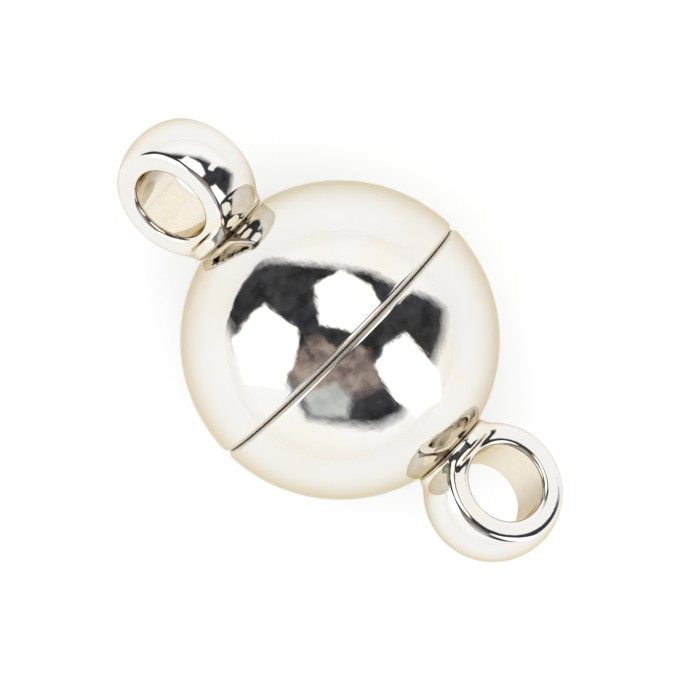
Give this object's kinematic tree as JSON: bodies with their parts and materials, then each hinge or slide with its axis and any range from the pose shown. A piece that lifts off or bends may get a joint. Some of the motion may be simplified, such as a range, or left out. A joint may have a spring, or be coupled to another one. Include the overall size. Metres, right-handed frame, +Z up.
{
  "type": "magnetic clasp",
  "caption": "Round magnetic clasp for a necklace or bracelet: ball halves with a disc magnet in each, a fine seam, and a thick ring eye on a collar at each pole.",
  "frame": {"origin": "on the ground, straight below the centre of the ball, with the closed clasp lying level on the rims at its seam", "axes": "+Z up; +X level, from the ball towards the plug eye, so that the clasp's own axis is parallel to X"},
  "size_m": [0.0144, 0.008, 0.008],
  "materials": {
    "silver": "bright silver plate, polished, with faint polishing lines",
    "magnet": "nickel-plated magnet, satin"
  },
  "bodies": {
    "plug": {"plug_half": "silver", "plug_eye": "silver"},
    "swivel": {"plug_magnet": "magnet"},
    "socket": {"socket_half": "silver", "socket_eye": "silver", "socket_magnet": "magnet"}
  },
  "joints": [
    {"name": "twist", "type": "hinge", "parent": "plug", "child": "swivel", "pos_m": [0, 0, 0.004], "axis": [-1, 0, 0], "continuous": true},
    {"name": "pull_apart", "type": "slide", "parent": "swivel", "child": "socket", "axis": [-1, 0, 0], "range_m": [0, 0.008]}
  ]
}
